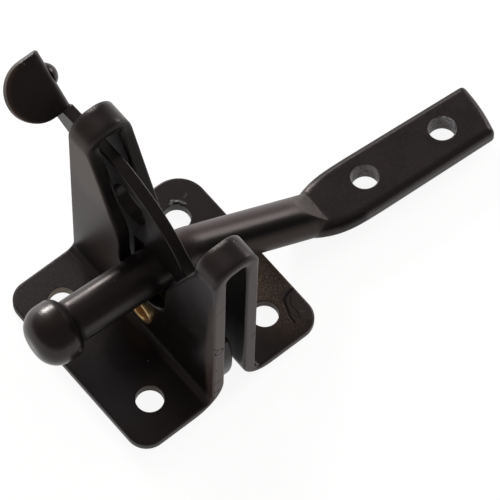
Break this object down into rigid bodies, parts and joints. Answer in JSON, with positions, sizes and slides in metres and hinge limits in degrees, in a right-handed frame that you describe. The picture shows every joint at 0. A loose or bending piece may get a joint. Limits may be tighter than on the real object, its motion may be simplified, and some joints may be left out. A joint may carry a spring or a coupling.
{
  "type": "gate latch",
  "caption": "Gate latch: notched hat-section body with a forked lever on a tubular pin and a thumb tab, holding a cranked strike bar with a flat drilled end.",
  "frame": {"origin": "centre of the fixing holes' pattern, on the back of the plate", "axes": "+Z out from the post, +X along the strike bar towards its flat end, +Y towards the horn that the thumb tab stands out of (up on a gate post)"},
  "size_m": [0.1416, 0.0813, 0.072],
  "materials": {
    "black_coating": "satin",
    "brass": "satin"
  },
  "bodies": {
    "latch": {"latch_body": "black_coating", "pivot_pin": "brass", "strike_bar": "black_coating"},
    "lever": {"lever": "black_coating", "thumb_rivet": "black_coating"}
  },
  "joints": [
    {"name": "lever_pivot", "type": "hinge", "parent": "latch", "child": "lever", "pos_m": [0, 0.0006, 0.0112], "axis": [1, 0, 0], "range_deg": [-43, 0]}
  ]
}
